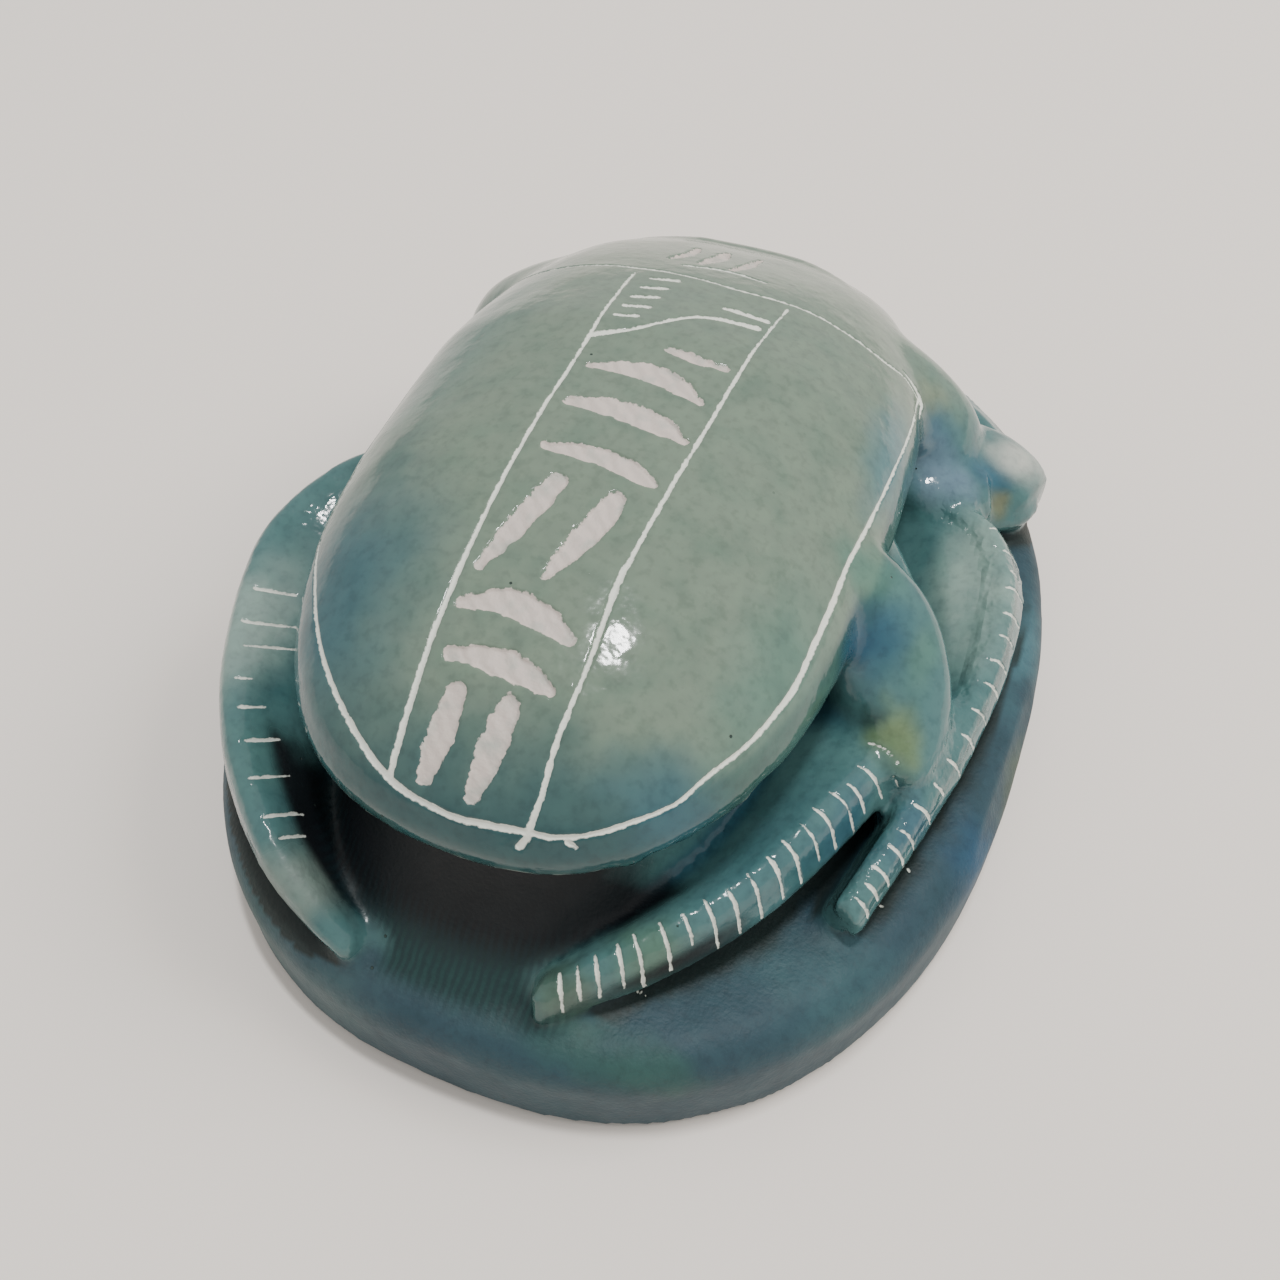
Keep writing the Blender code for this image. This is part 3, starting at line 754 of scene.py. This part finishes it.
# Flats that a file or a knock left on the plate's edge: a point of each and its direction
FLATS = (
    ((-29.0, -31.1, 6.0), (-0.74, -0.6, 0.3)),
    ((-32.4, -19.0, 6.0), (-0.95, -0.28, 0.1)),
    ((8.0, -41.9, 7.4), (0.12, -0.8, 0.58)),
    ((32.9, -3.0, 7.4), (0.9, -0.04, 0.42)),
    ((24.6, 33.4, 6.0), (0.62, 0.72, 0.3)),
)

points, normals = read_points(stone), read_normals(stone)
line_edge = stroke_edge(points, normals, line_strokes) + RAGGED * lattice_noise(points, 0.7, 5)
broad_edge = stroke_edge(points, normals, broad_strokes) + RAGGED * 3 * lattice_noise(points, 0.8, 6)
u = points[:, 0] - BEETLE_SHIFT - BEETLE_LEAN * points[:, 1]
v, z = points[:, 1], points[:, 2]
share = back_share(u, v)
rim_height = z - BACK_RIM_Z + back_fall(v)
on_rim = ease(share, 0.90, 0.95) * ease(share, 1.07, 1.02)
rim_foot = on_rim * ease(rim_height, -1.2, -0.2) * ease(rim_height, 1.8, 0.6)
lift = 0.10 * lattice_noise(points, 9.0, 1) + 0.05 * lattice_noise(points, 3.2, 2)
lift += rim_foot * ease(u, 8, 14) * 0.22 * (lattice_noise(points, 1.3, 3) - 0.5)
stripes = 0.5 + 0.5 * np.sin((u * 0.35 + v) * 2 * np.pi / STRIPE + 2 * lattice_noise(points, 2.0, 7))
lift -= LINE_DEPTH * ease(line_edge, 0.05, -0.13)
lift -= (BROAD_DEPTH - 0.025 * stripes) * ease(broad_edge, 0.06, -0.12)
points = points + normals * lift[:, None]
on_foot = ease(z, 10.2, 9.2)
for place, way in FLATS:
    way = np.array(way) / np.linalg.norm(way)
    points -= (on_foot * np.maximum((points - place) @ way, 0))[:, None] * way
points = np.clip(points, np.array(cad_low) / MM, np.array(cad_high) / MM)
points[z == 0.0, 2] = 0.0
write_points(stone, points)


def srgb(code):
    """A hex colour as linear red, green, blue and full alpha."""
    part = np.array([int(code[i:i + 2], 16) for i in (1, 3, 5)]) / 255
    line = np.where(part <= 0.04045, part / 12.92, ((part + 0.055) / 1.055) ** 2.4)
    return (*line.tolist(), 1.0)


# Glaze colours
# The copper glaze is thin and sage green on the crown, blue-green where it lies thicker on the legs and
# plate, and deep blue where it pooled. Painted shade darkens the deepest hollows, the recess at the tail and
# the plate under the legs, and a few touches paint shade or sheen.
hollow = kept(stone, "hollow")
ragged_places = points + 1.1 * np.stack([lattice_noise(points, 4.0, seed) for seed in (11, 12, 13)], axis=-1)
ragged_places += 0.5 * np.stack([lattice_noise(points, 1.3, seed) for seed in (14, 15, 16)], axis=-1)
crown_depth = on_back(np.column_stack([u, v]))[:, 2] - z
on_top = ease(crown_depth, 1.6, 0.6) * ease(share, 1.02, 0.99)

BARE_ELBOW = ((30.4, 25.4, 16), (4.8, 3.8, 4))
BARE_TIP = ((-11, -36.4, 13.4), (5.5, 3.6, 4))

# Touches of colour: the colour, its strength, and the middle and reach of the place in mm
TOUCHES = (
    # Crown and thorax: blue-green to the left and at the tail, a blue streak by the right border
    ("#4C6E68", 0.8, (-18, 6, 26), (9, 26, 12)),
    ("#335860", 0.95, (-14, -22, 26), (11, 16, 13)),
    # The rim at the tail: blue-green glaze, darkened further as painted shade.
    ("#2A4C50", 0.9, (4, -32, 24), (26, 8, 8)),
    ("#2E4A46", 0.8, (-21.8, 0, 23), (2.6, 24, 4)),
    ("#2F5A68", 0.7, (12, -27.5, 24), (8, 5, 5)),
    ("#3C6C78", 0.7, (19.6, 8, 27), (3.4, 9, 6)),
    ("#54766C", 0.6, (17.5, -17, 26), (5, 12, 6)),
    ("#2F5450", 0.5, (-14.9, -10, 29), (3.0, 5, 4)),
    ("#64796C", 0.9, (21, 26, 22), (8, 9, 6)),
    ("#64796C", 0.9, (-22, 27, 20), (9, 12, 7)),
    ("#80866F", 0.5, (21.3, 22.0, 22), (3, 3.4, 4)),
    ("#3B5F72", 0.75, (23.9, 20.0, 20), (4, 3.2, 5)),
    # Thigh and knee
    ("#4D7468", 0.75, (21.4, -4.0, 26), (4, 3.6, 4)),
    ("#1C4A66", 0.85, (23.6, -8.4, 23), (3.6, 4.4, 5)),
    ("#557A70", 0.7, (27.2, -6.8, 21), (1.6, 4.2, 4)),
    ("#687A50", 0.8, (26.0, -12.4, 18), (2.8, 3.0, 4)),
    ("#263A38", 0.7, (24.2, -11.0, 19), (1.2, 1.0, 3)),
    # Shoulder and elbow
    ("#60788A", 0.85, (24.0, 18.9, 16.5), (4.6, 3.2, 5)),
    ("#B4B6AF", 0.95, *BARE_ELBOW),
    ("#2A5568", 0.9, (27.6, 22.2, 15.0), (3.6, 2.6, 4)),
    ("#7C7448", 0.6, (29.2, 20.9, 13), (2.0, 1.2, 2.6)),
    # Legs
    ("#3A5C6C", 0.7, (28.2, 5, 15), (2.0, 4, 3)),
    # Pale grey-green on the middle right leg's ridge, partly glaze tone and partly a painted sheen.
    ("#8AA198", 0.85, (28.6, 8, 15), (5, 12, 4)),
    ("#2F5468", 0.75, (24.2, -20, 15), (3.2, 5, 3)),
    ("#2E5066", 0.6, (28.4, -17, 15), (2.4, 5, 3)),
    ("#4B6856", 0.7, (15.2, -33.4, 14), (5, 3.4, 4)),
    ("#46584A", 0.8, (9.4, -37.4, 12), (4.6, 2.8, 4)),
    ("#3B5F66", 0.6, (20, -24, 15), (8, 10, 5)),
    ("#728079", 0.9, *BARE_TIP),
    ("#8A9F98", 0.85, (-25, -20, 17.6), (5, 10, 4)),
    ("#4D7270", 0.7, (-18.4, -30, 16.4), (5, 5, 4)),
    # Plate
    ("#3D5558", 0.7, (-9, -41, 5), (8, 4, 6)),
    ("#35565C", 0.6, (26, -28, 8), (9, 6, 4)),
    ("#22424A", 0.6, (8, -41, 5), (8, 4, 6)),
    ("#34524F", 0.6, (-16, -37, 5), (10, 5, 6)),
    ("#1F4864", 0.8, (34.0, -13, 6), (5, 6, 5)),
    ("#59603F", 0.75, (34.8, -3, 4), (2.4, 6, 4)),
    ("#2C5548", 0.5, (14, -39.0, 8), (14, 2.6, 3)),
    ("#274C44", 0.5, (-28, 6, 6), (6, 12, 6)),
    ("#4A727C", 0.6, (34.0, 8, 8), (3.0, 9, 3)),
)

# The places in a leg's rings on top of its ridge and at its outer foot
RIDGE_POINT = 4
FOOT_POINT = 10
LEG_LINE_STEPS = 60


def leg_line(leg, first, last, ring_point, half):
    """A row of (x, y, z, half width) along a leg, through one point of each of its rings."""
    line = leg_rings(leg, np.linspace(first, last, LEG_LINE_STEPS))[:, ring_point]
    return np.column_stack([line, np.full(len(line), half)])


def paint(under, code, amount):
    """Lays a colour over another by an amount from 0 to 1 at each point."""
    return under + (np.array(srgb(code)[:3]) - under) * amount[:, None]


tint = np.tile(srgb("#486B6C")[:3], (len(points), 1))
tint = paint(tint, "#28404A", on_foot)
tint = paint(tint, "#6C7C6E", on_top)
tint = paint(tint, "#304E4A", on_rim * ease(rim_height, -0.5, 0.5) * ease(rim_height, 5.0, 4.0))
for code, strength, middle, reach in TOUCHES:
    tint = paint(tint, code, strength * ball(ragged_places, middle, reach))
tint = paint(tint, "#173A4C", 0.75 * ease(hollow, 0.35, 1.1))
# Near black in the deepest hollows: pooled glaze, darkened further with painted shade.
tint = paint(tint, "#0C1413", 0.85 * ease(hollow, 1.1, 2.2))
# Painted shade on the plate along the legs' outer feet, its edge made ragged by noise.
leg_feet = [leg_line(leg, 1, len(LEGS[leg][2]) - 1.7, FOOT_POINT, 2.0) for leg in LEGS]
painted_shade_edge = stroke_edge(points, normals, leg_feet) + 0.5 * lattice_noise(points, 1.5, 23)
tint = paint(tint, "#17201D", 0.9 * on_foot * ease(painted_shade_edge, 1.8, 0.2))
ridges = [leg_line(leg, 0, len(LEGS[leg][2]) - 1, RIDGE_POINT, 2.4) for leg in LEGS]
off_legs = ease(stroke_edge(points, 0 * normals, ridges), -0.6, 0.8)
rippled = [leg_line("middle right", 0.8, 7, RIDGE_POINT, 1.2)]
on_ridge = ease(stroke_edge(points, 0 * normals, rippled), 1.0, 0.0)
at_tail = off_legs * ease(ragged_places[:, 1], -26.5, -29.5) * ease(share, 1.22, 1.1) * ease(z, 21.6, 20.0)
filed = at_tail * ease(z, 8.6, 9.4) * ease(z, 13.5, 11.5) * ease(u, 11, 8)
tint = paint(tint, "#163636", filed)
# The recess under the tail: near black, dark glaze with painted shade over it.
tint = paint(tint, "#070A10", 0.98 * at_tail * ease(z, 9.8, 12.6))
# Painted shade, over dark glaze, on the inner slope of the left hind leg beside the recess.
tint = paint(tint, "#0A1118", 0.95 * ball(ragged_places, (-8.5, -32.5, 10.5), (7, 7, 5)))
chance = lattice_noise(points, 1.1, 21) + 0.5 * lattice_noise(points, 5.0, 22)
rim_wear = rim_foot * ease(hollow, 0.2, -0.2) * ease(chance, -0.5, 0.3)
tint = paint(tint, "#9AA19B", 0.85 * rim_wear * ease(rim_height, 1.1, 0.3))

glaze_layer = stone.attributes.new("tint", "FLOAT_COLOR", "POINT")
glaze_layer.data.foreach_set("color", np.column_stack([tint, np.ones(len(tint))]).astype(np.float32).ravel())
keep(stone, "line", line_edge)
keep(stone, "broad", broad_edge)
matte = np.maximum(ball(ragged_places, *BARE_TIP), ball(ragged_places, *BARE_ELBOW))
matte = np.maximum(matte, np.maximum(0.8 * rim_wear, np.maximum(on_foot, at_tail)))
keep(stone, "matte", matte)
keep(stone, "filed", filed)
keep(stone, "ripple", (1 - on_foot) * np.maximum(0.25 * (1 - off_legs), on_ridge))

piece = bpy.data.objects.new("scarab_stone", stone)
bpy.context.scene.collection.objects.link(piece)
stone.transform(((MM, 0, 0, 0), (0, MM, 0, 0), (0, 0, MM, 0), (0, 0, 0, 1)))
stone.shade_smooth()
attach(piece, "root")
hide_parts("scarab")

# Glazed steatite: a glossy alkaline glaze, mottled as it ran, with pinholes, over pale stone that
# shows dull in the cut strokes
glaze = bpy.data.materials.new("glazed_steatite")
glaze.use_nodes = True
tree = glaze.node_tree
shader = tree.nodes["Principled BSDF"]


def add(kind, inputs, output=0, **settings):
    """Adds a node with settings, feeds its inputs with values or other nodes' outputs, and gives
    back one of its outputs."""
    node = tree.nodes.new("ShaderNode" + kind)
    for name, value in settings.items():
        setattr(node, name, value)
    for name, value in inputs.items():
        if isinstance(value, bpy.types.NodeSocket):
            tree.links.new(value, node.inputs[name])
        else:
            node.inputs[name].default_value = value
    return node.outputs[output]


place = add("TexCoord", {}, "Object")
colour = add("Attribute", {}, "Color", attribute_name="tint")

# Spots of thicker glaze of 3 mm, flow marks of 1.4 mm and specks of 0.7 mm
spots = add("TexNoise", {"Vector": place, "Scale": 1 / (3.2 * MM), "Detail": 5.0})
spots = add("MapRange", {0: spots, 1: 0.45, 2: 0.75, 3: 0.0, 4: 0.5})
colour = add("Mix", {0: spots, 6: colour, 7: srgb("#C4DADC")}, 2, data_type="RGBA", blend_type="MULTIPLY")
flow = add("TexNoise", {"Vector": place, "Scale": 1 / (1.4 * MM), "Detail": 6.0})
flow = add("MapRange", {0: flow, 1: 0.35, 2: 0.65, 3: 0.0, 4: 0.2})
colour = add("Mix", {0: flow, 6: colour, 7: srgb("#E8F0E4")}, 2, data_type="RGBA", blend_type="SOFT_LIGHT")
specks = add("TexNoise", {"Vector": place, "Scale": 1 / (0.7 * MM), "Detail": 2.0})
specks = add("MapRange", {0: specks, 1: 0.30, 2: 0.5, 3: 0.12, 4: 0.0})
colour = add("Mix", {0: specks, 6: colour, 7: srgb("#3E524E")}, 2, data_type="RGBA", blend_type="MULTIPLY")

# File marks down the slope at the tail, about 0.6 mm apart
filed_here = add("Attribute", {}, "Fac", attribute_name="filed")
marks = add("TexWave", {"Vector": place, "Scale": 1 / (2.0 * MM), "Distortion": 3.5, "Detail": 3.0}, "Fac",
            bands_direction="X")
marks = add("MapRange", {0: marks, 1: 0.2, 2: 0.8, 3: 0.0, 4: 0.55})
marks = add("Math", {0: marks, 1: filed_here}, operation="MULTIPLY")
colour = add("Mix", {0: marks, 6: colour, 7: srgb("#0F2328")}, 2, data_type="RGBA")

# Pinholes: burst bubbles, about one in each cell of 3 mm, and only some of them dark
cells = {"Vector": place, "Scale": 1 / (3.0 * MM)}
chosen = add("SeparateColor", {"Color": add("TexVoronoi", cells, "Color")}, "Red")
chosen = add("MapRange", {0: chosen, 1: 0.55, 2: 0.6, 3: 0.0, 4: 1.0})
hole = add("MapRange", {0: add("TexVoronoi", cells, "Distance"), 1: 0.045, 2: 0.03, 3: 0.0, 4: 1.0})
hole = add("Math", {0: hole, 1: chosen}, operation="MULTIPLY")
colour = add("Mix", {0: hole, 6: colour, 7: srgb("#2B3A36")}, 2, data_type="RGBA")

# Strokes: their stored edge distance is in mm, and the noise leaves crumbs of glaze on the edge,
# half as large along a thin line
crumbs = add("TexNoise", {"Vector": place, "Scale": 1 / (0.45 * MM), "Detail": 4.0})
broad_crumbs = add("MapRange", {0: crumbs, 1: 0.25, 2: 0.75, 3: -0.13, 4: 0.13})
line_crumbs = add("Math", {0: broad_crumbs, 1: 0.5}, operation="MULTIPLY")
line_distance = add("Attribute", {}, "Fac", attribute_name="line")
line_distance = add("Math", {0: line_distance, 1: line_crumbs}, operation="ADD")
in_line = add("MapRange", {0: line_distance, 1: 0.03, 2: -0.04, 3: 0.0, 4: 1.0})
broad_distance = add("Attribute", {}, "Fac", attribute_name="broad")
broad_distance = add("Math", {0: broad_distance, 1: broad_crumbs}, operation="ADD")
in_broad = add("MapRange", {0: broad_distance, 1: 0.03, 2: -0.04, 3: 0.0, 4: 1.0})

# Bare stone: pinkish white with the graver's stripes and, here and there, a film of glaze
stripes = add("TexWave", {"Vector": place, "Scale": 1 / (2.6 * MM), "Distortion": 6.0, "Detail": 4.0}, "Fac",
              bands_direction="DIAGONAL")
stripes = add("MapRange", {0: stripes, 1: 0.2, 2: 0.9, 3: 0.0, 4: 0.3})
pale = add("Mix", {0: stripes, 6: srgb("#CFC4BC"), 7: srgb("#A79E98")}, 2, data_type="RGBA")
film = add("TexNoise", {"Vector": place, "Scale": 1 / (1.8 * MM), "Detail": 4.0})
film = add("MapRange", {0: film, 1: 0.5, 2: 0.72, 3: 0.0, 4: 0.5})
pale = add("Mix", {0: film, 6: pale, 7: srgb("#8FA39B")}, 2, data_type="RGBA")
colour = add("Mix", {0: in_broad, 6: colour, 7: pale}, 2, data_type="RGBA")
colour = add("Mix", {0: in_line, 6: colour, 7: srgb("#E2E6DC")}, 2, data_type="RGBA")

# Gloss: the glaze shines, and bare stone, worn places, the plate and the recess are dull
cut = add("Math", {0: in_line, 1: in_broad}, operation="MAXIMUM")
cut = add("Math", {0: cut, 1: 0.9}, operation="MULTIPLY")
worn = add("Attribute", {}, "Fac", attribute_name="matte")
dull = add("Math", {0: cut, 1: worn}, operation="MAXIMUM")
gloss = add("TexNoise", {"Vector": place, "Scale": 1 / (2.2 * MM), "Detail": 4.0})
gloss = add("MapRange", {0: gloss, 1: 0.3, 2: 0.7, 3: 0.07, 4: 0.16})
added = add("Math", {0: dull, 1: 0.45}, operation="MULTIPLY")
gloss = add("Math", {0: gloss, 1: added}, operation="ADD")

# Relief too fine for the mesh, in metres: waves in the glaze, ripples on the legs' ridges, stone
# grain where it is dull, and the pinholes
waves = add("TexNoise", {"Vector": place, "Scale": 1 / (2.6 * MM), "Detail": 3.0})
waves = add("Math", {0: waves, 1: 0.10 * MM}, operation="MULTIPLY")
ripple_depth = add("Attribute", {}, "Fac", attribute_name="ripple")
ripple_depth = add("Math", {0: ripple_depth, 1: 0.55 * MM}, operation="MULTIPLY")
ripple = add("TexNoise", {"Vector": place, "Scale": 1 / (1.9 * MM), "Detail": 2.5})
ripple = add("Math", {0: ripple, 1: ripple_depth}, operation="MULTIPLY")
grain_depth = add("Math", {0: dull, 1: 0.05 * MM}, operation="MULTIPLY")
grain = add("TexNoise", {"Vector": place, "Scale": 1 / (0.3 * MM), "Detail": 2.0})
grain = add("Math", {0: grain, 1: grain_depth}, operation="MULTIPLY")
pits = add("Math", {0: hole, 1: -0.08 * MM}, operation="MULTIPLY")
height = add("Math", {0: waves, 1: ripple}, operation="ADD")
height = add("Math", {0: height, 1: grain}, operation="ADD")
height = add("Math", {0: height, 1: pits}, operation="ADD")
bump = add("Bump", {"Height": height, "Strength": 1.0, "Distance": 1.0})

tree.links.new(colour, shader.inputs["Base Color"])
tree.links.new(gloss, shader.inputs["Roughness"])
tree.links.new(bump, shader.inputs["Normal"])
shader.inputs["IOR"].default_value = 1.5
shader.inputs["Specular IOR Level"].default_value = 0.4
stone.materials.append(glaze)


# Table
floor_mesh = bpy.data.meshes.new("table")
floor_mesh.from_pydata([(-2, -2, 0), (2, -2, 0), (2, 2, 0), (-2, 2, 0)], [], [(0, 1, 2, 3)])
floor = bpy.data.objects.new("table", floor_mesh)
bpy.context.scene.collection.objects.link(floor)
paper = bpy.data.materials.new("matt_paper")
paper.use_nodes = True
paper.node_tree.nodes["Principled BSDF"].inputs["Base Color"].default_value = srgb("#F2EBE4")
paper.node_tree.nodes["Principled BSDF"].inputs["Roughness"].default_value = 0.9
floor_mesh.materials.append(paper)

# Light
world = bpy.data.worlds.new("soft_room")
world.use_nodes = True
world.node_tree.nodes["Background"].inputs["Color"].default_value = srgb("#FFFDFA")
world.node_tree.nodes["Background"].inputs["Strength"].default_value = 0.72
bpy.context.scene.world = world


def lamp(name, place, size, power, tint):
    """An oblong lamp at a place in metres, turned towards the scarab."""
    light = bpy.data.lights.new(name, "AREA")
    light.shape = "RECTANGLE"
    light.size, light.size_y = size
    light.energy = power
    light.color = srgb(tint)[:3]
    holder = bpy.data.objects.new(name, light)
    holder.location = place
    holder.rotation_euler = (-Vector(place)).to_track_quat("-Z", "Y").to_euler()
    bpy.context.scene.collection.objects.link(holder)
    return holder


lamp("ceiling_lamp", (0.05, 0.1, 1.2), (0.2, 0.08), 7.0, "#FFFFFF")
window = lamp("window", (0.7, 0.35, 0.8), (0.6, 0.6), 7.5, "#FFFAF4")
window.visible_glossy = False

# Camera
AZIMUTH = np.radians(22)
ELEVATION = np.radians(50)
DISTANCE = 0.124
RAISED = 0.003
ASIDE = Vector((-0.0015, 0, 0))
LENS_IN_PIXELS = 1300
IMAGE_PIXELS = 1280
SENSOR = 36
across = Vector((np.cos(AZIMUTH), np.sin(AZIMUTH), 0))
level = Vector((np.sin(AZIMUTH), -np.cos(AZIMUTH), 0))
towards = level * np.cos(ELEVATION) + Vector((0, 0, np.sin(ELEVATION)))
camera_data = bpy.data.cameras.new("camera")
camera_data.lens = SENSOR * LENS_IN_PIXELS / IMAGE_PIXELS
camera_data.clip_start = 0.01
camera = bpy.data.objects.new("camera", camera_data)
camera.location = towards * DISTANCE + towards.cross(across) * RAISED + ASIDE
camera.rotation_euler = (-towards).to_track_quat("-Z", "Y").to_euler()
bpy.context.scene.collection.objects.link(camera)
bpy.context.scene.camera = camera
